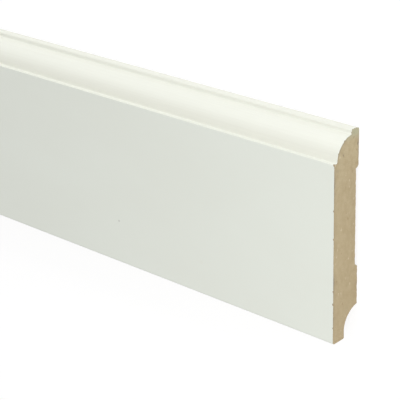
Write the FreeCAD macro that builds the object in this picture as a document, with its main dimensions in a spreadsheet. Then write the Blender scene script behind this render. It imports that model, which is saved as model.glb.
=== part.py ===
import FreeCAD, Part
import math
import os

import Sketcher

# Skirting board length: one strip of fibreboard, sawn to width and then run past moulding
# heads that cut its whole section. It lies on its back, as boards are stacked.
# X runs along the length, +Y is the moulded top edge, Z = 0 is the back, which goes to the
# wall, and the face looks up. The origin is under the middle of the board. Millimetres.

SIZES = {
    # the sawn strip
    "length": 2400.0,
    "height": 90.0,
    "thickness": 15.0,
    # the moulded top, each depth measured back from the face
    "ledge_depth": 1.8,
    "ovolo_radius": 10.0,
    "ovolo_depth": 8.7,
    "listel_height": 2.0,
    # the shallow relief that lets the board sit flat on an uneven wall
    "upper_pad_width": 16.0,
    "foot_height": 30.5,
    "relief_depth": 1.5,
    "relief_wall_angle": 54.0,
    # the cove behind the toe, where a cable can run, and how far the toe's underside rises
    # towards its back, so that its front edge meets the floor
    "toe_thickness": 7.0,
    "toe_height": 3.7,
    "cove_radius": 10.3,
    "toe_undercut": 0.6,
    # arrises eased by the heads, and the round that their cutters leave in the inner corners
    "back_arris_radius": 1.0,
    "toe_arris_radius": 1.0,
    "listel_arris_radius": 0.7,
    "face_arris_radius": 0.3,
    "root_radius": 0.8,
    # how far each cutter's outline runs past the strip
    "cutter_overrun": 5.0,
}
# how near an edge of the solid lies to the arris that is asked for
ARRIS_TOLERANCE = 0.01

START, END, CENTRE = 1, 2, 3
AXIS_Y = -1

doc = FreeCAD.newDocument("skirting")


def add_sheet(values):
    """Put each driving size in a cell of its own, with its name beside it."""
    sheet = doc.addObject("Spreadsheet::Sheet", "sizes")
    for row, (alias, value) in enumerate(values.items(), start=1):
        sheet.set(f"A{row}", alias)
        sheet.set(f"B{row}", str(value))
        sheet.setAlias(f"B{row}", alias)
    doc.recompute()


def add_sketch(body, name):
    """A sketch across the board: its x is the board's Y and its y the board's Z."""
    sketch = body.newObject("Sketcher::SketchObject", name)
    planes = [item for item in body.Origin.OriginFeatures if item.Role == "YZ_Plane"]
    sketch.AttachmentSupport = (planes[0], [""])
    sketch.MapMode = "FlatFace"
    return sketch


def draw_ring(sketch, corners, arc_centre=None):
    """Close a ring of edges through the corners, level and upright ones held so.

    With an arc centre the first edge is an arc, turned anticlockwise about it.
    """
    edges = []
    for number, start in enumerate(corners):
        end = corners[(number + 1) % len(corners)]
        if number == 0 and arc_centre is not None:
            edges.append(add_arc(sketch, arc_centre, start, end))
            continue
        line = Part.LineSegment(FreeCAD.Vector(*start, 0), FreeCAD.Vector(*end, 0))
        edges.append(sketch.addGeometry(line, False))
        if start[1] == end[1]:
            sketch.addConstraint(Sketcher.Constraint("Horizontal", edges[-1]))
        if start[0] == end[0]:
            sketch.addConstraint(Sketcher.Constraint("Vertical", edges[-1]))
    for edge, following in zip(edges, edges[1:] + edges[:1]):
        sketch.addConstraint(Sketcher.Constraint("Coincident", edge, END, following, START))
    return edges


def add_arc(sketch, centre, start, end):
    """An arc whose end lies straight above its centre, so it meets a level line smoothly."""
    radius = math.dist(centre, start)
    circle = Part.Circle(FreeCAD.Vector(*centre, 0), FreeCAD.Vector(0, 0, 1), radius)
    first = math.atan2(start[1] - centre[1], start[0] - centre[0])
    last = math.atan2(end[1] - centre[1], end[0] - centre[0])
    arc = sketch.addGeometry(Part.ArcOfCircle(circle, first, last), False)
    sketch.addConstraint(Sketcher.Constraint("Vertical", arc, CENTRE, arc, END))
    return arc


def set_size(sketch, kind, name, formula, *where):
    """Add a dimension with a name of its own, driven by a formula on the sheet."""
    value = sketch.evalExpression(formula)
    number = getattr(value, "Value", value)
    if kind == "Angle":
        number = math.radians(number)
    index = sketch.addConstraint(Sketcher.Constraint(kind, *where, number))
    sketch.renameConstraint(index, name)
    sketch.setExpression(f"Constraints.{name}", formula)


def place(sketch, point, name, y=None, z=None):
    """Hold a point of the sketch at a formula for its Y, its Z or both."""
    origin = (AXIS_Y, START)
    if y is not None:
        set_size(sketch, "DistanceX", name + "_y", y, *origin, *point)
    if z is not None:
        set_size(sketch, "DistanceY", name + "_z", z, *origin, *point)


def run_along(body, sketch, name):
    """Cut a profile the whole length of the board, both ways from its middle."""
    doc.recompute()
    if not sketch.FullyConstrained:
        raise RuntimeError(sketch.Label + " is not fully constrained")
    before = body.Shape.Volume
    cut = body.newObject("PartDesign::Pocket", name)
    cut.Profile = sketch
    cut.SideType = "Symmetric"
    cut.setExpression("Length", "sizes.length + 2 * sizes.cutter_overrun")
    doc.recompute()
    if body.Shape.Volume >= before:
        raise RuntimeError(name + " cuts nothing")


def saw_strip(body):
    """The sawn strip before moulding, centred on its length and on its height."""
    half = SIZES["height"] / 2
    face = SIZES["thickness"]
    sketch = add_sketch(body, "strip_profile")
    edges = draw_ring(sketch, [(-half, 0), (half, 0), (half, face), (-half, face)])
    place(sketch, (edges[0], START), "toe_back", "-sizes.height / 2", "0")
    place(sketch, (edges[2], START), "top_face", "sizes.height / 2", "sizes.thickness")
    strip = body.newObject("PartDesign::Pad", "strip")
    strip.Profile = sketch
    strip.SideType = "Symmetric"
    strip.setExpression("Length", "sizes.length")
    doc.recompute()


def ovolo_rise():
    """How far up the board the ovolo climbs before it meets the listel."""
    short_of_centre = SIZES["ovolo_radius"] - SIZES["ovolo_depth"]
    return math.sqrt(SIZES["ovolo_radius"] ** 2 - short_of_centre ** 2)


def mould_top(body):
    """The moulded top: a ledge, an ovolo that rises from it, and the listel left above."""
    ledge = SIZES["thickness"] - SIZES["ledge_depth"]
    listel_face = ledge - SIZES["ovolo_depth"]
    centre_z = ledge - SIZES["ovolo_radius"]
    listel_y = SIZES["height"] / 2 - SIZES["listel_height"]
    ledge_y = listel_y - ovolo_rise()
    outside_y = SIZES["height"] / 2 + SIZES["cutter_overrun"]
    outside_z = SIZES["thickness"] + SIZES["cutter_overrun"]
    sketch = add_sketch(body, "moulding_profile")
    corners = [(listel_y, listel_face), (ledge_y, ledge), (ledge_y, outside_z),
               (outside_y, outside_z), (outside_y, listel_face)]
    edges = draw_ring(sketch, corners, arc_centre=(ledge_y, centre_z))
    ledge_formula = "sizes.thickness - sizes.ledge_depth"
    place(sketch, (edges[0], START), "listel", "sizes.height / 2 - sizes.listel_height",
          ledge_formula + " - sizes.ovolo_depth")
    place(sketch, (edges[0], END), "ledge", z=ledge_formula)
    set_size(sketch, "Radius", "ovolo", "sizes.ovolo_radius", edges[0])
    place(sketch, (edges[3], START), "outside", "sizes.height / 2 + sizes.cutter_overrun",
          "sizes.thickness + sizes.cutter_overrun")
    run_along(body, sketch, "moulding")


def relieve_back(body):
    """The back relief: a shallow flat channel with sloped walls, between two pads."""
    foot_y = SIZES["foot_height"] - SIZES["height"] / 2
    pad_y = SIZES["height"] / 2 - SIZES["upper_pad_width"]
    floor = SIZES["relief_depth"]
    slope = floor / math.tan(math.radians(SIZES["relief_wall_angle"]))
    outside_z = -SIZES["cutter_overrun"]
    sketch = add_sketch(body, "relief_profile")
    corners = [(foot_y, outside_z), (foot_y, 0), (foot_y + slope, floor),
               (pad_y - slope, floor), (pad_y, 0), (pad_y, outside_z)]
    edges = draw_ring(sketch, corners)
    place(sketch, (edges[1], START), "foot", "sizes.foot_height - sizes.height / 2", "0")
    place(sketch, (edges[4], START), "pad", "sizes.height / 2 - sizes.upper_pad_width", "0")
    place(sketch, (edges[2], START), "floor", z="sizes.relief_depth")
    place(sketch, (edges[0], START), "outside", z="-sizes.cutter_overrun")
    wall_angle = "sizes.relief_wall_angle * 1 deg"
    set_size(sketch, "Angle", "foot_wall", wall_angle, edges[1])
    set_size(sketch, "Angle", "pad_wall", "-" + wall_angle, edges[3])
    run_along(body, sketch, "relief")


def cove_back(body):
    """The cove: a quarter round cut up behind the toe until it breaks out of the back."""
    toe_back = SIZES["thickness"] - SIZES["toe_thickness"]
    radius = SIZES["cove_radius"]
    centre = (SIZES["toe_height"] - SIZES["height"] / 2, toe_back - radius)
    outside_y = -SIZES["height"] / 2 - SIZES["cutter_overrun"]
    outside_z = centre[1] - SIZES["cutter_overrun"]
    sketch = add_sketch(body, "cove_profile")
    corners = [(centre[0] + radius, centre[1]), (centre[0], toe_back), (outside_y, toe_back),
               (outside_y, outside_z), (centre[0] + radius, outside_z)]
    edges = draw_ring(sketch, corners, arc_centre=centre)
    toe_formula = "sizes.thickness - sizes.toe_thickness"
    level_start = Sketcher.Constraint("Horizontal", edges[0], CENTRE, edges[0], START)
    sketch.addConstraint(level_start)
    place(sketch, (edges[0], END), "toe", "sizes.toe_height - sizes.height / 2", toe_formula)
    set_size(sketch, "Radius", "cove", "sizes.cove_radius", edges[0])
    place(sketch, (edges[3], START), "outside", "-sizes.height / 2 - sizes.cutter_overrun",
          toe_formula + " - sizes.cove_radius - sizes.cutter_overrun")
    run_along(body, sketch, "cove")


def undercut_toe(body):
    """The undercut: a thin wedge off the toe's underside, thickest at the back of the toe."""
    toe_back = SIZES["thickness"] - SIZES["toe_thickness"]
    underside = -SIZES["height"] / 2
    outside_y = underside - SIZES["cutter_overrun"]
    sketch = add_sketch(body, "undercut_profile")
    corners = [(underside, SIZES["thickness"]), (underside + SIZES["toe_undercut"], toe_back),
               (outside_y, toe_back), (outside_y, SIZES["thickness"])]
    edges = draw_ring(sketch, corners)
    place(sketch, (edges[0], START), "front", "-sizes.height / 2", "sizes.thickness")
    place(sketch, (edges[1], START), "back", "-sizes.height / 2 + sizes.toe_undercut",
          "sizes.thickness - sizes.toe_thickness")
    place(sketch, (edges[2], START), "outside", "-sizes.height / 2 - sizes.cutter_overrun")
    run_along(body, sketch, "undercut")


def edges_at(shape, places):
    """Names of the edges that run along the board at the given places (Y, Z) of its section."""
    names = []
    for number, edge in enumerate(shape.Edges, start=1):
        middle = edge.CenterOfMass
        along = abs(edge.BoundBox.XLength - edge.Length) < ARRIS_TOLERANCE
        if along and any(math.dist((middle.y, middle.z), spot) < ARRIS_TOLERANCE for spot in places):
            names.append(f"Edge{number}")
    if len(names) != len(places):
        raise RuntimeError(f"found {len(names)} of {len(places)} arrises")
    return names


def ease(body, name, places, radius_formula):
    """Round the sharp edges or inner corners at the given places of the section."""
    base = body.Tip
    arris = body.newObject("PartDesign::Fillet", name)
    arris.Base = (base, edges_at(base.Shape, places))
    arris.setExpression("Radius", radius_formula)
    doc.recompute()


def ease_arrises(body):
    """The top's two edges and the toe are rounded over, and the ledge's only just blunted."""
    top = SIZES["height"] / 2
    face = SIZES["thickness"]
    ledge = face - SIZES["ledge_depth"]
    listel_face = ledge - SIZES["ovolo_depth"]
    listel_y = top - SIZES["listel_height"]
    ledge_y = listel_y - ovolo_rise()
    ease(body, "roots", [(listel_y, listel_face), (ledge_y, ledge)], "sizes.root_radius")
    ease(body, "back_arris", [(top, 0)], "sizes.back_arris_radius")
    ease(body, "toe_arris", [(-top, face)], "sizes.toe_arris_radius")
    ease(body, "listel_arris", [(top, listel_face)], "sizes.listel_arris_radius")
    ease(body, "face_arris", [(ledge_y, face)], "sizes.face_arris_radius")


def check_and_write(bodies):
    """Refuse a failed feature or a bad solid, then write each piece to its own file."""
    for item in doc.Objects:
        if "Invalid" in item.State or "Error" in item.State:
            raise RuntimeError(item.Label + " failed: " + str(item.State))
    os.makedirs("parts", exist_ok=True)
    for body in bodies:
        if body.Shape.isNull() or not body.Shape.isValid() or len(body.Shape.Solids) != 1:
            raise RuntimeError(body.Label + " is not one sound solid")
        body.Shape.exportStep(f"parts/{body.Label}.step")
        print(body.Label, body.Shape.BoundBox, "volume", round(body.Shape.Volume))


add_sheet(SIZES)
board = doc.addObject("PartDesign::Body", "skirting_board")
saw_strip(board)
mould_top(board)
relieve_back(board)
cove_back(board)
undercut_toe(board)
ease_arrises(board)
check_and_write([board])
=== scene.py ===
import bpy
import numpy as np
from mathutils import Matrix, Vector


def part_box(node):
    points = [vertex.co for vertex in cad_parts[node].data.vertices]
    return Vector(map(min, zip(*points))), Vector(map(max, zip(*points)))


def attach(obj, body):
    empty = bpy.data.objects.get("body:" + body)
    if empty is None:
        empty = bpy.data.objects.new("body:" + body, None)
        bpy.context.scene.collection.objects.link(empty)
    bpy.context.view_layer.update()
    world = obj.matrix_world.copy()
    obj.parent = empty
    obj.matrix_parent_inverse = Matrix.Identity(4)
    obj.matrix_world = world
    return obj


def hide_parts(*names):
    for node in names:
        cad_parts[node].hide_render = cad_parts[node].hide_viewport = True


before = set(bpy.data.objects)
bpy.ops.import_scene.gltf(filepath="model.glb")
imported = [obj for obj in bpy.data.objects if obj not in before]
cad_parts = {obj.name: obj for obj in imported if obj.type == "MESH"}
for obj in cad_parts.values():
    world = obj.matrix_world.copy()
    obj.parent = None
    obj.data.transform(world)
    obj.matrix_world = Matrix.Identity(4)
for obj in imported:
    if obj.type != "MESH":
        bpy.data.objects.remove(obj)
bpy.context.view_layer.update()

MM = 0.001


# The view: the right-hand end of the board and the first 200 mm of its face, from in front of
# the moulded face, above the top edge and to the right of the cut end. The board lies on its
# back, so the camera is turned with it and looks down on the face.

PHOTO_WIDTH = 400
FOCAL_LENGTH_PX = 1695.0
SENSOR_WIDTH_MM = 36.0
CLIP_START, CLIP_END = 0.01, 100
BOARD_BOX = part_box("skirting_board")
END_X = BOARD_BOX[1].x
TOP_Y = BOARD_BOX[1].y
FACE_Z = BOARD_BOX[1].z
HEIGHT = 90.0 * MM
TOE_Y = TOP_Y - HEIGHT
# turns of the camera about a board that stands on its toe: round it, down and about the view
YAW, PITCH, ROLL = np.radians((-45.02, 21.33, -1.28))
# the toe's corner at the cut end as the camera sees it: to its right, above it and ahead of it
TOE_CORNER_SEEN = np.array((53.99, -59.14, 689.8)) * MM


def lie_flat(along, into_wall, up):
    """A direction given for the standing board, turned with it: into the wall becomes down."""
    return np.array((along, up, -into_wall))


ahead = lie_flat(np.sin(YAW) * np.cos(PITCH), np.cos(YAW) * np.cos(PITCH), -np.sin(PITCH))
level_right = lie_flat(np.cos(YAW), -np.sin(YAW), 0)
level_up = np.cross(level_right, ahead)
right = level_right * np.cos(ROLL) + level_up * np.sin(ROLL)
upwards = np.cross(right, ahead)
toe_corner = np.array((END_X, TOE_Y, FACE_Z))
eye = toe_corner - np.column_stack((right, upwards, ahead)) @ TOE_CORNER_SEEN

camera = bpy.data.objects.new("camera", bpy.data.cameras.new("camera"))
bpy.context.collection.objects.link(camera)
camera.data.sensor_width = SENSOR_WIDTH_MM
camera.data.lens = FOCAL_LENGTH_PX * SENSOR_WIDTH_MM / PHOTO_WIDTH
camera.data.clip_start, camera.data.clip_end = CLIP_START, CLIP_END
turned = Matrix(np.column_stack((right, upwards, -ahead))).to_4x4()
camera.matrix_world = Matrix.Translation(eye) @ turned
bpy.context.scene.camera = camera


# The moulded strip: medium-density fibreboard, sawn from a sheet and run face up past moulding
# heads, which leave every edge of the section as one line down the whole length. Its section
# is drawn in millimetres, Y up the board from its middle and Z from the back to the face.

END = END_X / MM
FACE = FACE_Z / MM
TOP = TOP_Y / MM
TOE = TOE_Y / MM
LEDGE_DEPTH = 1.8
OVOLO_RADIUS = 10.0
OVOLO_DEPTH = 8.7
LISTEL_HEIGHT = 2.0
ROOT_RADIUS = 0.8
UPPER_PAD_WIDTH = 16.0
FOOT_HEIGHT = 30.5
RELIEF_DEPTH = 1.5
RELIEF_WALL_ANGLE = np.radians(54)
TOE_THICKNESS = 7.0
TOE_HEIGHT = 3.7
COVE_RADIUS = 10.3
TOE_UNDERCUT = 0.6
BACK_ARRIS = 0.8
TOE_ARRIS = 1.0
TOE_BACK_ARRIS = 0.5
FACE_ARRIS = 0.3
LISTEL_ARRIS = 0.7
RAW_ARRIS = 0.15
COAT_FILM = 0.08
END_GRAIN_STEP = 0.3
ARC_POINTS, ARRIS_POINTS, TOE_ARRIS_POINTS = 24, 6, 10
# shares of the outline that agree to this many decimals make one row
LEVEL_DECIMALS = 6


def arc(centre, radius, first, last, count=ARC_POINTS):
    """The centre plus the radius times the cosine and sine of evenly spaced angles."""
    angle = np.linspace(first, last, count)
    return np.asarray(centre) + radius * np.column_stack((np.cos(angle), np.sin(angle)))


def eased(before, corner, after, radius, count=ARRIS_POINTS):
    """An arc tangent to both sides of a corner, its centre on the line that halves the angle.

    Round an outer corner it takes wood off, and in an inner one it fills.
    """
    back, on = np.subtract(before, corner), np.subtract(after, corner)
    back, on = back / np.linalg.norm(back), on / np.linalg.norm(on)
    halving = back + on
    half_sine = np.linalg.norm(back - on) / 2
    centre = corner + halving / np.linalg.norm(halving) * radius / half_sine
    reach = radius * np.sqrt(1 - half_sine ** 2) / half_sine
    first, last = (np.arctan2(*(corner + side * reach - centre)[::-1]) for side in (back, on))
    swing = (last - first + np.pi) % (2 * np.pi) - np.pi
    return arc(centre, radius, first, first + swing, count)


def lengths_along(line):
    """The share of a line's length that lies before each of its points."""
    steps = np.linalg.norm(np.diff(line, axis=0), axis=1)
    return np.concatenate(((0,), np.cumsum(steps))) / steps.sum()


def points_at(line, levels):
    """Points at given shares of a line's length, straight between the line's own points."""
    own = lengths_along(line)
    return np.column_stack([np.interp(levels, own, line[:, axis]) for axis in (0, 1)])


toe_back = FACE - TOE_THICKNESS
ledge_floor = FACE - LEDGE_DEPTH
listel_face = ledge_floor - OVOLO_DEPTH
ovolo_start = np.arcsin((OVOLO_RADIUS - OVOLO_DEPTH) / OVOLO_RADIUS)
listel_y = TOP - LISTEL_HEIGHT
ledge_y = listel_y - OVOLO_RADIUS * np.cos(ovolo_start)
# the box of the solid ends where the eased toe does, a little above the toe's sharp corner
underside_back = np.array((TOE + TOE_UNDERCUT, toe_back))
toe_point = np.array((TOE, FACE))
ledge_edge, ledge_root = np.array((ledge_y, FACE)), np.array((ledge_y, ledge_floor))
listel_root, listel_edge = np.array((listel_y, listel_face)), np.array((TOP, listel_face))
back_edge = np.array((TOP, 0.0))
# the turn of the ovolo that the rounded roots take up at its two ends
root_turn = ROOT_RADIUS / OVOLO_RADIUS
ovolo_centre = (ledge_y, ledge_floor - OVOLO_RADIUS)
ovolo = arc(ovolo_centre, OVOLO_RADIUS, np.pi / 2 - root_turn, ovolo_start + root_turn)
front_outline = np.vstack((
    eased(underside_back, toe_point, ledge_edge, TOE_ARRIS, TOE_ARRIS_POINTS),
    eased(toe_point, ledge_edge, ledge_root, FACE_ARRIS),
    eased(ledge_edge, ledge_root, ovolo[0], ROOT_RADIUS),
    ovolo,
    eased(ovolo[-1], listel_root, listel_edge, ROOT_RADIUS),
    eased(listel_root, listel_edge, back_edge, LISTEL_ARRIS),
))

cove_y = TOE + TOE_HEIGHT
cove_z = toe_back - COVE_RADIUS
cove_end = np.arcsin(-cove_z / COVE_RADIUS)
cove = arc((cove_y, cove_z), COVE_RADIUS, np.pi / 2, cove_end)
relief_slope = RELIEF_DEPTH / np.tan(RELIEF_WALL_ANGLE)
foot_edge = np.array((TOE + FOOT_HEIGHT, 0.0))
foot_root = foot_edge + (relief_slope, RELIEF_DEPTH)
pad_edge = np.array((TOP - UPPER_PAD_WIDTH, 0.0))
pad_root = pad_edge + (-relief_slope, RELIEF_DEPTH)
back_outline = np.vstack((
    eased(toe_point, underside_back, cove[0], TOE_BACK_ARRIS),
    cove[:-1],
    eased(cove[-2], cove[-1], foot_edge, RAW_ARRIS),
    eased(cove[-1], foot_edge, foot_root, RAW_ARRIS),
    eased(foot_edge, foot_root, pad_root, RAW_ARRIS),
    eased(foot_root, pad_root, pad_edge, RAW_ARRIS),
    eased(pad_root, pad_edge, back_edge, RAW_ARRIS),
    eased(pad_edge, back_edge, listel_edge, BACK_ARRIS),
))

# Rows join the two outlines across the board, and each starts with a step as thick as the coat.
shown_length = np.linalg.norm(np.diff(front_outline, axis=0), axis=1).sum()
film_share = COAT_FILM / shown_length
levels = np.unique(np.concatenate((
    lengths_along(front_outline),
    lengths_along(back_outline),
    np.arange(0, 1, END_GRAIN_STEP / shown_length),
    (film_share, 1 - film_share),
)).round(LEVEL_DECIMALS))
grain_columns = int(FACE / END_GRAIN_STEP)
front, back = points_at(front_outline, levels), points_at(back_outline, levels)
film = COAT_FILM / np.linalg.norm(back - front, axis=1)[:, None]
shares = np.hstack((np.zeros_like(film), film + (1 - film) * np.linspace(0, 1, grain_columns)))
section = front[:, None] + (back - front)[:, None] * shares[:, :, None]
rows, columns = shares.shape

# The ring goes up the face, over the top edge, down the back and under the toe.
up, across = np.arange(rows), np.arange(1, columns)
top_row, back_column = np.full(columns - 1, rows - 1), np.full(rows - 1, columns - 1)
ring_row = np.concatenate((up, top_row, up[-2::-1], np.zeros(columns - 2, int)))
ring_column = np.concatenate((np.zeros(rows, int), across, back_column, across[-2::-1]))
ring = section[ring_row, ring_column]
ring_size = len(ring)

# Rings stand close together at both sawn ends and far apart in the middle.
FIRST_STEP = 0.1
STATIONS_A_SIDE = 18
from_end = np.concatenate(((0,), np.geomspace(FIRST_STEP, END, STATIONS_A_SIDE)))
stations = np.concatenate((from_end[:-1] - END, (END - from_end)[::-1]))


# Sawn ends: the saw leaves a fuzz of fibre, faint lines along its stroke and a few torn pits.
# Shade is how much darker a spot of the end is painted: in a pit or bruise, in step with its depth,
# which is painted shade in the hollow, and in the dense skins of the board, just under the coat and
# along the back.

LATTICE_SIZE = 512
FUZZ_CELL, FUZZ_DEPTH = 0.6, 0.035
SAW_LINE_CELL, SAW_LINE_DEPTH = (0.5, 9.0), 0.02
PIT_COUNT = 26
PIT_RADII, PIT_DEPTHS = (0.15, 0.3), (0.05, 0.16)
# how much darker a pit or bruise is painted for each millimetre of its depth: painted shade in the
# hollow
PIT_SHADE = 2.0
SKIN_DEPTH, SKIN_CELL = 0.85, 1.6
# what the skin's shade is multiplied by: at the least, and how much more at the most
SKIN_LEAST, SKIN_RANGE = 0.6, 0.8
# where the skin shows: a height on the board, half a length and how dark it is there
RIGHT_SKIN = ((39.0, 5.0, 0.5), (24.0, 9.0, 0.6), (4.0, 11.0, 0.3), (-17.5, 5.0, 0.75),
              (-32.0, 9.0, 0.5))
LEFT_SKIN = ((36.0, 6.0, 0.4), (12.0, 12.0, 0.34), (-8.0, 6.0, 0.45), (-32.0, 9.0, 0.30))
BACK_SKIN = ((36.0, 7.0, 0.45), (-20.0, 9.0, 0.12))
# the marks on the photographed end, each a place, its two radii and its depth: a pit in the
# moulded top, and bruises under the ledge and beside the back
SEEN_MARKS = (
    ((35.5, 9.3), (0.55, 0.22), 0.5),
    ((29.9, 12.9), (0.6, 1.4), 0.12),
    ((25.3, 14.2), (1.6, 0.5), 0.10),
    ((38.4, 0.6), (0.7, 0.45), 0.2),
    ((-21.6, 0.5), (0.5, 0.4), 0.10),
)
RIGHT_SEED, LEFT_SEED = 11, 29


def lattice_noise(spots, cell, seed):
    """Random heights on a square lattice, blended across each cell by an S-shaped curve."""
    heights = np.random.default_rng(seed).random((LATTICE_SIZE, LATTICE_SIZE))
    scaled = spots / cell
    low = np.floor(scaled).astype(int)
    blend = scaled - low
    blend = blend * blend * (3 - 2 * blend)
    a, b = low[..., 0] % LATTICE_SIZE, low[..., 1] % LATTICE_SIZE
    next_a, next_b = (a + 1) % LATTICE_SIZE, (b + 1) % LATTICE_SIZE
    this_side = heights[a, b] * (1 - blend[..., 1]) + heights[a, next_b] * blend[..., 1]
    far_side = heights[next_a, b] * (1 - blend[..., 1]) + heights[next_a, next_b] * blend[..., 1]
    return this_side * (1 - blend[..., 0]) + far_side * blend[..., 0]


def bell(spots, centre, radii):
    """One at the centre of a mark, falling off as a bell curve across its two radii."""
    away = ((spots - centre) / radii) ** 2
    return np.exp(-away.sum(axis=-1))


def skin_line(spots, surface, stretches):
    """Bell curves up the board times one of the distance below a surface."""
    below = np.linalg.norm(spots - surface, axis=-1)
    shown = sum(amount * np.exp(-((spots[..., 0] - height) / half_length) ** 2)
                for height, half_length, amount in stretches)
    return shown * np.exp(-(below / SKIN_DEPTH) ** 2)


def sawn_end(spots, seed, front_skin, marks=()):
    """How far the end lies in from its plane, as fuzz, saw lines and pits, and its shade."""
    draw = np.random.default_rng(seed)
    pits = [
        (draw.uniform((TOE, 0), (TOP, FACE)), draw.uniform(*PIT_RADII), draw.uniform(*PIT_DEPTHS))
        for _ in range(PIT_COUNT)
    ]
    torn = sum(depth * bell(spots, centre, radii) for centre, radii, depth in (*pits, *marks))
    fuzz = FUZZ_DEPTH * lattice_noise(spots, FUZZ_CELL, seed)
    saw_lines = SAW_LINE_DEPTH * lattice_noise(spots, SAW_LINE_CELL, seed + 1)
    skin = skin_line(spots, spots[:, :1], front_skin) + skin_line(spots, spots[:, -1:], BACK_SKIN)
    skin = skin * (SKIN_LEAST + SKIN_RANGE * lattice_noise(spots, SKIN_CELL, seed + 2))
    return torn + fuzz + saw_lines, PIT_SHADE * torn + skin


right_depth, right_shade = sawn_end(section, RIGHT_SEED, RIGHT_SKIN, SEEN_MARKS)
left_depth, left_shade = sawn_end(section, LEFT_SEED, LEFT_SKIN)
inside = section[1:-1, 1:-1]
sides = np.empty((len(stations), ring_size, 3))
sides[..., 0] = stations[:, None]
sides[..., 1:] = ring

# Crumbs: where the saw leaves the bare back, the arris breaks away by up to a quarter of a
# millimetre. Each row across the board gets shorter there by a share of its own length, so that
# no row crosses another.
CRUMB_DEPTH, CRUMB_CELL, CRUMB_REACH = 0.25, 0.9, 0.35
bare_back = (ring_column == columns - 1) & (ring[:, 0] < TOP - 2 * BACK_ARRIS)
crumbling = bare_back[:, None] * ((front - back) / FACE)[ring_row]
half_way = len(stations) // 2
for stretch, seed in ((slice(None, half_way), LEFT_SEED), (slice(half_way, None), RIGHT_SEED)):
    eaten = CRUMB_DEPTH * lattice_noise(ring, CRUMB_CELL, seed + 3)[:, None] ** 2 * crumbling
    fading = np.exp(-(END - abs(stations[stretch])) / CRUMB_REACH)
    sides[stretch, :, 1:] += fading[:, None, None] * eaten

left_end = np.dstack((left_depth[1:-1, 1:-1] - END, inside))
right_end = np.dstack((END - right_depth[1:-1, 1:-1], inside))
spots = np.vstack([part.reshape(-1, 3) for part in (sides, left_end, right_end)])

# Chips: the saw knocks crumbs out of the brittle coat where it leaves the face. The ones on the
# right-hand end are where the photographed end has them; each is a place on the section and a
# radius. Bare is how far the coat is gone from a point, one at the middle of a chip.
SEEN_CHIPS = (
    ((ledge_y, FACE), 0.65), ((13.6, FACE), 0.31), ((1.5, FACE), 0.33),
    ((-21.2, FACE), 0.28), ((-26.9, FACE), 0.45), ((-37.5, FACE), 0.25),
    ((36.9, 12.45), 0.20), ((41.4, 8.75), 0.27), ((42.3, 7.1), 0.24),
    ((43.7, listel_face), 0.32), ((44.9, 3.8), 0.32), ((TOP, 2.7), 0.34), ((TOP, 1.6), 0.34),
)
RANDOM_CHIPS = 10
RANDOM_CHIP_RADII = (0.25, 0.55)
CHIP_DEPTH_SHARE = 0.5
CHIP_INWARD = 0.7
# the coat's own sawn edge, which is a little ragged between the chips
RAGGED_EDGE, RAGGED_AMOUNT = 0.2, 0.3


def chip(spots, corner, inward, radius):
    """Push points near a corner inwards, by a bell curve of their distance from it."""
    away = np.linalg.norm(spots - corner, axis=1) / radius
    return spots + CHIP_DEPTH_SHARE * radius * np.exp(-away ** 2)[:, None] * inward


draw = np.random.default_rng(LEFT_SEED)
left_chips = [(front[draw.integers(rows)], draw.uniform(*RANDOM_CHIP_RADII))
              for _ in range(RANDOM_CHIPS)]
bare = np.exp(-(END - abs(spots[:, 0])) / RAGGED_EDGE) * RAGGED_AMOUNT
for side, chips in ((1, SEEN_CHIPS), (-1, left_chips)):
    for place, radius in chips:
        corner = (side * END, *place)
        bare += bell(spots, corner, radius)
        spots = chip(spots, corner, np.array((-side * CHIP_INWARD, 0, -CHIP_INWARD)), radius)

# Faces: each side quad looks out of the board, and the two end grids close it.
around = np.arange(ring_size)
beside = (around + 1) % ring_size
steps = np.arange(len(stations) - 1)[:, None] * ring_size
corners = (steps + around, steps + around + ring_size, steps + beside + ring_size, steps + beside)
side_faces = np.stack(corners, -1)


def end_grid(ring_start, inner_start):
    """The vertex at each place of an end's grid: a ring round it, the end's own points inside."""
    index = np.empty((rows, columns), int)
    index[ring_row, ring_column] = ring_start + around
    index[1:-1, 1:-1] = inner_start + np.arange((rows - 2) * (columns - 2)).reshape(rows - 2, -1)
    return index


def quads(index):
    """The quads between the neighbours of a grid."""
    return np.stack((index[:-1, :-1], index[1:, :-1], index[1:, 1:], index[:-1, 1:]), -1)


side_count = len(stations) * ring_size
left_grid = end_grid(0, side_count)
right_grid = end_grid(side_count - ring_size, side_count + inside.shape[0] * inside.shape[1])
ends = quads(left_grid), quads(right_grid)[..., ::-1]
faces = np.concatenate([part.reshape(-1, 4) for part in (side_faces, *ends)])
shade = np.zeros(len(spots), np.float32)
shade[left_grid], shade[right_grid] = left_shade, right_shade

mesh = bpy.data.meshes.new("skirting_board_moulded")
mesh.vertices.add(len(spots))
mesh.vertices.foreach_set("co", (spots * MM).ravel())
mesh.loops.add(faces.size)
mesh.loops.foreach_set("vertex_index", faces.ravel())
mesh.polygons.add(len(faces))
mesh.polygons.foreach_set("loop_start", np.arange(0, faces.size, 4))
mesh.update(calc_edges=True)
for name, amounts in (("shade", shade), ("bare", bare.astype(np.float32))):
    mesh.attributes.new(name, "FLOAT", "POINT").data.foreach_set("value", amounts)

# The white coat is sprayed on the face, the moulding and the top edge. It turns the arris of the
# back and runs a little way under the toe; the rest of the board is left bare.
COAT_TURNS_BACK = 0.6
COAT_UNDER_TOE = 1.5
COAT, SAWN, PLANED = 0, 1, 2
SHARP_ANGLE = np.radians(35)

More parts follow.
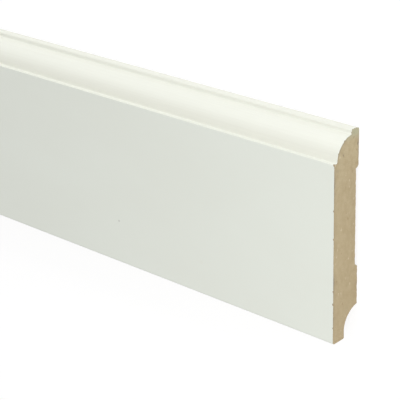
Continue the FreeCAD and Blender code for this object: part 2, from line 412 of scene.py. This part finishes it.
ring_y, ring_z = ring.T
next_y, next_z = ring[beside].T
last_shown = rows - 1 + columns - 1
on_coat = (around < last_shown) | (np.minimum(ring_y, next_y) > TOP - COAT_TURNS_BACK)
under_toe = around >= ring_size - (columns - 1)
on_coat |= under_toe & (np.minimum(ring_z, next_z) > FACE - COAT_UNDER_TOE)
side_kind = np.broadcast_to(np.where(on_coat, COAT, PLANED), side_faces.shape[:2])
end_kind = np.full((rows - 1, columns - 1), SAWN)
end_kind[:, 0] = COAT
end_kind[levels[:-1] >= 1 - film_share] = COAT
kinds = np.concatenate((side_kind.ravel(), end_kind.ravel(), end_kind.ravel()))
mesh.polygons.foreach_set("material_index", kinds.astype(np.int32))
mesh.polygons.foreach_set("use_smooth", np.ones(len(faces), bool))
mesh.set_sharp_from_angle(angle=SHARP_ANGLE)


# The coat is a satin white lacquer with a faint green cast, sprayed on in a film under a tenth
# of a millimetre thick. It lies on the flat face with a shallow orange peel. On the moulding the
# lines of the moulding head just show through, and its white is painted warmer, as painted light
# from above. Painted shade darkens the foot of the ovolo, the band beside the root under the
# listeland the listel's arris and top edge; the root itself is painted less dark.

COAT_COLOUR = (0.800, 0.832, 0.764)
COAT_CLOUD_COLOUR = (0.785, 0.812, 0.742)
# painted light: the moulding's coat is painted a warmer white than the face's, for the warmer light
# that falls on it from above
LIT_MOULDING_COAT_COLOUR = (0.828, 0.842, 0.764)
# a thinner coat's colour, for the rub and the drifted spray, and also the colour of the painted
# shade on the moulding
THIN_COAT_AND_SHADE_COLOUR = (0.780, 0.787, 0.702)
# bare fibre in a chip, darkened with painted shade inside the notch
SHADED_CHIP_COLOUR = (0.36, 0.29, 0.19)
# the cells of each noise along the board, up it and into it, and the part of its range that shows
CLOUD_SIZE, CLOUD_RANGE, CLOUD_SHARE = (60 * MM, 30 * MM, 30 * MM), (0.35, 0.65), 0.7
SATIN_RANGE, SATIN_ROUGHNESS = (0.3, 0.7), (0.36, 0.46)
PEEL_SIZE, PEEL_DEPTH = (1.4 * MM, 1.4 * MM, 1.4 * MM), 0.012 * MM
LINE_SIZE, LINE_DEPTH = (90 * MM, 0.5 * MM, 0.5 * MM), 0.02 * MM
LINE_RANGE, LINE_THIN = (0.4, 0.7), 0.3
CHIP_GRAIN, GONE_RANGE = (0.5 * MM, 0.5 * MM, 0.5 * MM), (0.85, 1.0)
# the heights over which the coat becomes the moulding's, and over which painted shade grows towards
# the foot of the ovolo, the root under the listel and the listel's arris, and fades again
MOULDING_FROM = (ledge_y - 0.4, ledge_y + 0.2)
FOOT_SHADE_GROWS, FOOT_SHADE_FADES = (ledge_y - 0.8, ledge_y + 1.0), (ledge_y + 3.0, ledge_y + 6.5)
ROOT_SHADE_GROWS, ROOT_SHADE_FADES = (listel_y - 0.6, listel_y - 0.15), (listel_y - 0.15, listel_y + 0.05)
ARRIS_SHADE_GROWS = (listel_y + 0.1, TOP - LISTEL_ARRIS)
# the shares of painted shade at the foot of the ovolo, beside the root and on the listel's arris
# and top edge
FOOT_SHADE, ROOT_SHADE, ARRIS_SHADE = 0.75, 0.40, 0.30
# how much of the painted shade beside the root is left in the root itself
ROOT_SHADE_KEPT = 0.25
# a dark grain caught under the coat, and a faint rub on it
SPECK_PLACE = (END_X - 126.5 * MM, TOE_Y + 20.6 * MM, FACE_Z)
SPECK_RADIUS, SPECK_RIM = 0.35 * MM, 0.3 * MM
SPECK_COLOUR = (0.62, 0.63, 0.58)
RUB_PLACE = (END_X - 74.4 * MM, TOE_Y + 15.2 * MM, FACE_Z)
RUB_RADIUS, RUB_RIM = 0.6 * MM, 0.5 * MM
RUB_RANGE, RUB_SHARE = (0.3, 0.7), (0.2, 0.5)


def new_material(name):
    """An empty material with its shader, its output and the object's own coordinates."""
    material = bpy.data.materials.new(name)
    material.use_nodes = True
    tree = material.node_tree
    tree.nodes.clear()
    shader = tree.nodes.new("ShaderNodeBsdfPrincipled")
    output = tree.nodes.new("ShaderNodeOutputMaterial")
    tree.links.new(shader.outputs["BSDF"], output.inputs["Surface"])
    place = tree.nodes.new("ShaderNodeTexCoord").outputs["Object"]
    return material, tree, shader, place


def add(tree, kind, links, **values):
    """A node with its properties and unlinked inputs set by name, then its inputs linked."""
    node = tree.nodes.new(kind)
    for name, value in values.items():
        if hasattr(node, name):
            setattr(node, name, value)
        else:
            node.inputs[name.replace("_", " ")].default_value = value
    for name, socket in links.items():
        tree.links.new(socket, node.inputs[name])
    return node


def combined(tree, operation, first, second):
    """The sum, product, ratio or larger of two numbers, as the operation says."""
    return add(tree, "ShaderNodeMath", {0: first, 1: second}, operation=operation).outputs[0]


def noise(tree, place, stretch, detail=2.0, roughness=0.5):
    """Fractal noise, its cells as long as the stretch says along each axis."""
    scaled = add(tree, "ShaderNodeMapping", {"Vector": place}, Scale=tuple(1 / s for s in stretch))
    pattern = add(tree, "ShaderNodeTexNoise", {"Vector": scaled.outputs[0]},
                  Scale=1.0, Detail=detail, Roughness=roughness)
    return pattern.outputs["Fac"]


def ramp(tree, amount, low, high, start, end):
    """Map a range of one number to another, held at its ends."""
    node = add(tree, "ShaderNodeMapRange", {"Value": amount},
               From_Min=low, From_Max=high, To_Min=start, To_Max=end)
    return node.outputs[0]


def up_board(tree, place, low, high, start, end):
    """A number that goes from start to end between two heights on the board in millimetres."""
    height = add(tree, "ShaderNodeSeparateXYZ", {"Vector": place}).outputs["Y"]
    return ramp(tree, height, low * MM, high * MM, start, end)


def blend(tree, share, first, second):
    """Mix two colours by a share, each colour a socket or plain red, green and blue."""
    node = add(tree, "ShaderNodeMix", {}, data_type="RGBA")
    tree.links.new(share, node.inputs["Factor"])
    colours = [socket for socket in node.inputs if socket.type == "RGBA"]
    for socket, colour in zip(colours, (first, second)):
        if isinstance(colour, tuple):
            socket.default_value = (*colour, 1)
        else:
            tree.links.new(colour, socket)
    return next(socket for socket in node.outputs if socket.type == "RGBA")


def relief(tree, height, distance, under=None):
    """A bump whose full height is a real distance, laid over another bump if one is given."""
    links = {"Height": height}
    if under is not None:
        links["Normal"] = under
    return add(tree, "ShaderNodeBump", links, Distance=distance, Strength=1.0).outputs[0]


def near(tree, place, spot, radius, rim):
    """One inside a radius of a spot, falling to nothing over a soft rim."""
    away = add(tree, "ShaderNodeVectorMath", {0: place}, operation="DISTANCE")
    away.inputs[1].default_value = spot
    return ramp(tree, away.outputs["Value"], radius, radius + rim, 1.0, 0.0)


coat, tree, shader, place = new_material("white_lacquer")
cloud = noise(tree, place, CLOUD_SIZE, detail=3.0)
lines = noise(tree, place, LINE_SIZE)
peel = noise(tree, place, PEEL_SIZE, detail=1.5)
moulded = up_board(tree, place, *MOULDING_FROM, 0.0, 1.0)

# painted shade on the moulding: at the foot of the ovolo, beside the root under the listel (less in
# the root itself) and on the listel's arris and top edge, added to the head's lines
foot = combined(tree, "MULTIPLY", up_board(tree, place, *FOOT_SHADE_GROWS, 0.0, FOOT_SHADE),
                up_board(tree, place, *FOOT_SHADE_FADES, 1.0, 0.0))
root = combined(tree, "MULTIPLY", up_board(tree, place, *ROOT_SHADE_GROWS, 0.0, ROOT_SHADE),
                up_board(tree, place, *ROOT_SHADE_FADES, 1.0, ROOT_SHADE_KEPT))
arris = up_board(tree, place, *ARRIS_SHADE_GROWS, 0.0, ARRIS_SHADE)
lines_and_shade = ramp(tree, lines, *LINE_RANGE, 0.0, LINE_THIN)
for part in (foot, root, arris):
    lines_and_shade = combined(tree, "ADD", lines_and_shade, part)

clouded = ramp(tree, cloud, *CLOUD_RANGE, 0.0, CLOUD_SHARE)
tone = blend(tree, clouded, COAT_COLOUR, COAT_CLOUD_COLOUR)
# the moulding in its painted warmer white, darkened by the head's lines and by painted shade
tone = blend(tree, moulded, tone, blend(tree, lines_and_shade, LIT_MOULDING_COAT_COLOUR, THIN_COAT_AND_SHADE_COLOUR))
tone = blend(tree, near(tree, place, SPECK_PLACE, SPECK_RADIUS, SPECK_RIM), tone, SPECK_COLOUR)
rub = combined(tree, "MULTIPLY", near(tree, place, RUB_PLACE, RUB_RADIUS, RUB_RIM),
               ramp(tree, peel, *RUB_RANGE, *RUB_SHARE))
tone = blend(tree, rub, tone, THIN_COAT_AND_SHADE_COLOUR)

# the coat is gone where the mesh says so, along an edge that finer noise makes ragged; the fibre
# there is painted darker than the sawn end, as painted shade inside the chip
gone = add(tree, "ShaderNodeAttribute", {}, attribute_name="bare").outputs["Fac"]
gone = combined(tree, "ADD", gone, noise(tree, place, CHIP_GRAIN, roughness=0.6))
gone = ramp(tree, gone, *GONE_RANGE, 0.0, 1.0)
tone = blend(tree, gone, tone, SHADED_CHIP_COLOUR)
tree.links.new(tone, shader.inputs["Base Color"])
rough = combined(tree, "MAXIMUM", ramp(tree, cloud, *SATIN_RANGE, *SATIN_ROUGHNESS), gone)
tree.links.new(rough, shader.inputs["Roughness"])
bumps = relief(tree, peel, PEEL_DEPTH)
bumps = relief(tree, combined(tree, "MULTIPLY", lines, moulded), LINE_DEPTH, bumps)
tree.links.new(bumps, shader.inputs["Normal"])


# Bare fibreboard: pale tan wood fibre pressed with resin, in which single darker and paler
# bundles show as specks. The saw leaves the ends matt and furry; the heads leave the back
# flatter, darker and crossed by the faint ripple of the knives.

FIBRE_COLOUR = (0.534, 0.450, 0.284)
DARK_FIBRE_COLOUR = (0.400, 0.302, 0.175)
PALE_FIBRE_COLOUR = (0.610, 0.515, 0.345)
PLANED_COLOUR = (0.455, 0.352, 0.212)
BUNDLE_WIDTH = 0.35 * MM
PATCH_SIZE, PATCH_RANGE, PATCH_SHARE = (14 * MM, 7 * MM, 3 * MM), (0.3, 0.7), 0.35
# the part of a noise's range that turns paler, and the part that turns darker
PALE_BUNDLES, DARK_BUNDLES = (0.5, 0.8), (0.5, 0.25)


def fibreboard(name, ground, fibre_length, fuzz, contrast, roughness):
    """Ground colour broken by long noise cells, paler above and darker below their middle."""
    material, tree, shader, place = new_material(name)
    stretch = (fibre_length, BUNDLE_WIDTH, BUNDLE_WIDTH)
    bundles = noise(tree, place, stretch, detail=4.0, roughness=0.6)
    patches = ramp(tree, noise(tree, place, PATCH_SIZE), *PATCH_RANGE, 0.0, PATCH_SHARE)
    tone = blend(tree, patches, ground, DARK_FIBRE_COLOUR)
    tone = blend(tree, ramp(tree, bundles, *PALE_BUNDLES, 0.0, contrast), tone, PALE_FIBRE_COLOUR)
    tone = blend(tree, ramp(tree, bundles, *DARK_BUNDLES, 0.0, contrast), tone, DARK_FIBRE_COLOUR)
    shader.inputs["Roughness"].default_value = roughness
    tree.links.new(relief(tree, bundles, fuzz), shader.inputs["Normal"])
    return material, tree, shader, place, tone


# Torn fibre: a cell of the random pattern up the section and across it, the smallest and the
# largest fleck as shares of a cell, and the share of a fleck that is its solid core.
FLECK_CELL = (2.8 * MM, 1.4 * MM)
FLECK_RADII, FLECK_CORE = (0.06, 0.30), 0.6
# how far finer noise tears a fleck's outline, how far the cells slide for each metre along the
# board, in metres, and the range of a cell's first random number over which its fleck appears
FLECK_TEAR, FLECK_SLIDE, FLECK_FADE = 0.5 * MM, 0.1, 0.02
FLECK_COLOUR = (0.640, 0.557, 0.382)
# the share of cells that have a fleck, and where their pattern starts
PALE_FLECKS, DARK_FLECKS = (0.12, 3.3), (0.05, 9.1)


def flecks(tree, place, share, start):
    """One near the middle of each of a share of random cells across the board's section.

    A cell's second random number sets how large its fleck is, and finer noise, added to the
    place, tears its outline. The cells slide with the place along the board, so that its two
    ends differ.
    """
    axes = add(tree, "ShaderNodeSeparateXYZ", {"Vector": place}).outputs
    slid = add(tree, "ShaderNodeMath", {0: axes["X"], 2: axes["Y"]}, operation="MULTIPLY_ADD")
    slid.inputs[1].default_value = FLECK_SLIDE
    flat = add(tree, "ShaderNodeCombineXYZ", {"X": slid.outputs[0], "Y": axes["Z"]})
    tear = add(tree, "ShaderNodeTexNoise", {"Vector": place}, Scale=1 / FLECK_TEAR, Detail=1.0)
    torn = add(tree, "ShaderNodeVectorMath", {0: tear.outputs["Color"], 2: flat.outputs[0]},
               operation="MULTIPLY_ADD")
    torn.inputs[1].default_value = (2 * FLECK_TEAR, 2 * FLECK_TEAR, 0)
    scaled = add(tree, "ShaderNodeMapping", {"Vector": torn.outputs[0]}, Location=(start, start, 0),
                 Scale=(1 / FLECK_CELL[0], 1 / FLECK_CELL[1], 1))
    cells = add(tree, "ShaderNodeTexVoronoi", {"Vector": scaled.outputs[0]},
                voronoi_dimensions="2D", Scale=1.0)
    numbers = add(tree, "ShaderNodeSeparateColor", {"Color": cells.outputs["Color"]}).outputs
    chosen = ramp(tree, numbers[0], 1 - share, 1 + FLECK_FADE - share, 0.0, 1.0)
    radius = ramp(tree, numbers[1], 0.0, 1.0, *FLECK_RADII)
    away = combined(tree, "DIVIDE", cells.outputs["Distance"], radius)
    return combined(tree, "MULTIPLY", chosen, ramp(tree, away, FLECK_CORE, 1.0, 1.0, 0.0))


# The sawn ends are mottled and have a grey haze at the listel. Painted shade darkens them towards
# the toe and below the ledge, standing in for light that falls off down the end.
MOTTLE_SIZE, MOTTLE_SHARE = (2.4 * MM, 2.4 * MM, 1.8 * MM), 0.40
PALE_MOTTLE, DARK_MOTTLE = (0.5, 0.8), (0.5, 0.2)
# how far the painted shade darkens the end at the toe, and below the ledge
TOE_PAINTED_SHADE, BELOW_LEDGE_PAINTED_SHADE = 0.28, 0.15
BELOW_LEDGE = (ledge_y + 3.0, ledge_y - 6.0)
HAZE_DEPTH, HAZE_SHARE = 4.5, 0.29
HAZE_COLOUR = (0.420, 0.560, 0.440)
SHADE_COLOUR = (0.270, 0.225, 0.170)

sawn, tree, shader, place, tone = fibreboard(
    "sawn_fibreboard", FIBRE_COLOUR, fibre_length=0.5 * MM, fuzz=0.08 * MM, contrast=0.5,
    roughness=0.9)
mottle = noise(tree, place, MOTTLE_SIZE, detail=1.5)
# painted shade: darker down the end towards the toe, and more below the ledge
toe_shade = up_board(tree, place, TOP, TOE, 0.0, TOE_PAINTED_SHADE)
below_ledge_shade = up_board(tree, place, *BELOW_LEDGE, 0.0, BELOW_LEDGE_PAINTED_SHADE)
haze = up_board(tree, place, TOP - HAZE_DEPTH, listel_y, 0.0, HAZE_SHARE)
darker = add(tree, "ShaderNodeAttribute", {}, attribute_name="shade").outputs["Fac"]
for share, colour in (
        (ramp(tree, mottle, *PALE_MOTTLE, 0.0, MOTTLE_SHARE), PALE_FIBRE_COLOUR),
        (ramp(tree, mottle, *DARK_MOTTLE, 0.0, MOTTLE_SHARE), DARK_FIBRE_COLOUR),
        (flecks(tree, place, *PALE_FLECKS), FLECK_COLOUR),
        (flecks(tree, place, *DARK_FLECKS), DARK_FIBRE_COLOUR),
        (toe_shade, DARK_FIBRE_COLOUR),
        (below_ledge_shade, DARK_FIBRE_COLOUR),
        (haze, HAZE_COLOUR),
        (ramp(tree, darker, 0.0, 1.0, 0.0, 1.0), SHADE_COLOUR)):
    tone = blend(tree, share, tone, colour)
tree.links.new(tone, shader.inputs["Base Color"])

# The planed back has the lines that small nicks in the knives leave down the whole length, and
# spray that drifted past the coat's edge and thins out over the first few millimetres.
NICK_SIZE = (160 * MM, 0.7 * MM, 0.7 * MM)
DARK_NICKS, DARK_NICK_SHARE = (0.55, 0.75), 0.5
PALE_NICKS, PALE_NICK_SHARE = (0.45, 0.25), 0.35
DRIFT_SIZE, DRIFT_RANGE = (9 * MM, 1.2 * MM, 1.2 * MM), (0.35, 0.6)
DRIFT_HEIGHTS = (TOP - 3.0, TOP - 0.5)
KNIFE_PITCH, KNIFE_RIPPLE, KNIFE_WANDER = 1.8 * MM, 0.01 * MM, 0.3
# a wave texture of scale one repeats at this length
WAVE_LENGTH = np.pi / 10

planed, tree, shader, place, tone = fibreboard(
    "moulded_fibreboard", PLANED_COLOUR, fibre_length=1.0 * MM, fuzz=0.02 * MM, contrast=0.65,
    roughness=0.75)
nicks = noise(tree, place, NICK_SIZE, roughness=0.6)
drift = noise(tree, place, DRIFT_SIZE, detail=3.0)
sprayed = combined(tree, "MULTIPLY", up_board(tree, place, *DRIFT_HEIGHTS, 0.0, 1.0),
                   ramp(tree, drift, *DRIFT_RANGE, 0.0, 1.0))
for share, colour in (
        (ramp(tree, nicks, *DARK_NICKS, 0.0, DARK_NICK_SHARE), DARK_FIBRE_COLOUR),
        (ramp(tree, nicks, *PALE_NICKS, 0.0, PALE_NICK_SHARE), PALE_FIBRE_COLOUR),
        (sprayed, THIN_COAT_AND_SHADE_COLOUR)):
    tone = blend(tree, share, tone, colour)
tree.links.new(tone, shader.inputs["Base Color"])
ripple = add(tree, "ShaderNodeTexWave", {"Vector": place}, bands_direction="X",
             Scale=WAVE_LENGTH / KNIFE_PITCH, Distortion=KNIFE_WANDER)
fuzz = shader.inputs["Normal"].links[0].from_socket
tree.links.new(relief(tree, ripple.outputs["Fac"], KNIFE_RIPPLE, fuzz), shader.inputs["Normal"])

for material in (coat, sawn, planed):
    mesh.materials.append(material)
board = bpy.data.objects.new("skirting_board_moulded", mesh)
bpy.context.collection.objects.link(board)
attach(board, "root")
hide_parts("skirting_board")


# The floor is a wide pale sheet. To the camera, and in gloss, it adds enough of its own white
# to read as white paper, and it still takes the board's shadow.

FLOOR_HALF_WIDTH = 40.0
FLOOR_COLOUR = (0.80, 0.80, 0.80)
FLOOR_SEEN_COLOUR = (0.22, 0.22, 0.22)
FLOOR_SEEN_GLOW = 0.84


def seen_directly(tree):
    """One for camera, glossy and transmission rays, nothing for the rays that light things."""
    path = add(tree, "ShaderNodeLightPath", {}).outputs
    seen = combined(tree, "MAXIMUM", path["Is Camera Ray"], path["Is Glossy Ray"])
    return combined(tree, "MAXIMUM", seen, path["Is Transmission Ray"])


corner = np.array(((-1, -1, 0), (1, -1, 0), (1, 1, 0), (-1, 1, 0))) * FLOOR_HALF_WIDTH
floor_mesh = bpy.data.meshes.new("floor")
floor_mesh.from_pydata(corner.tolist(), [], [(0, 1, 2, 3)])
floor = bpy.data.objects.new("floor", floor_mesh)
bpy.context.collection.objects.link(floor)

paper = bpy.data.materials.new("floor_paper")
paper.use_nodes = True
tree = paper.node_tree
tree.nodes.clear()
seen = seen_directly(tree)
shown = blend(tree, seen, FLOOR_COLOUR, FLOOR_SEEN_COLOUR)
lit = add(tree, "ShaderNodeBsdfDiffuse", {"Color": shown})
strength = ramp(tree, seen, 0.0, 1.0, 0.0, FLOOR_SEEN_GLOW)
glow = add(tree, "ShaderNodeEmission", {"Strength": strength})
both = add(tree, "ShaderNodeAddShader", {0: lit.outputs[0], 1: glow.outputs[0]})
add(tree, "ShaderNodeOutputMaterial", {"Surface": both.outputs[0]})
floor_mesh.materials.append(paper)


# The light: an even white room, a broad low panel that faces the moulded top edge, and off each
# end two small ones, which light the sawn end and brighten the face towards it.

ROOM_STRENGTH = 0.502
WHITE = (1, 1, 1)
END_LIGHT = (1.0, 0.992, 0.97)
# what the lamps face: a spot of the face a little way in from the end
AIM_INWARD, AIM_HEIGHT = 0.1, 0.01
# the lamps off an end: how far past it, across and up they stand, how wide they are, their watts
END_LAMPS = {
    "end_panel": (0.6, -0.1, 0.4, 0.3, 1.54),
    "over_panel": (0.25, -0.05, 0.45, 0.2, 0.518),
}
TOP_PANEL_PLACE = (1.0, 2.6, 0.7)
TOP_PANEL_WIDTH, TOP_PANEL_WATTS = 1.6, 39.7

world = bpy.data.worlds.new("room")
bpy.context.scene.world = world
world.use_nodes = True
tree = world.node_tree
tree.nodes.clear()
strength = ramp(tree, seen_directly(tree), 0.0, 1.0, ROOM_STRENGTH, 1.0)
sky = add(tree, "ShaderNodeBackground", {"Strength": strength}, Color=(*WHITE, 1))
add(tree, "ShaderNodeOutputWorld", {"Surface": sky.outputs[0]})


def panel(name, place, side, width, watts, colour):
    """A square soft light that faces the board near one end and isn't seen itself."""
    light = bpy.data.lights.new(name, "AREA")
    light.size, light.energy, light.color = width, watts, colour
    lamp = bpy.data.objects.new(name, light)
    bpy.context.collection.objects.link(lamp)
    place, aim = Vector(place), Vector((side * (END_X - AIM_INWARD), 0.0, AIM_HEIGHT))
    turn = (aim - place).to_track_quat("-Z", "Y").to_matrix().to_4x4()
    lamp.matrix_world = Matrix.Translation(place) @ turn
    lamp.visible_camera = False


for end, side in (("right", 1), ("left", -1)):
    for lamp, (past, y, z, width, watts) in END_LAMPS.items():
        panel(f"{end}_{lamp}", (side * (END_X + past), y, z), side, width, watts, END_LIGHT)
panel("top_panel", TOP_PANEL_PLACE, 1, TOP_PANEL_WIDTH, TOP_PANEL_WATTS, WHITE)

bpy.context.scene.view_settings.view_transform = "Standard"
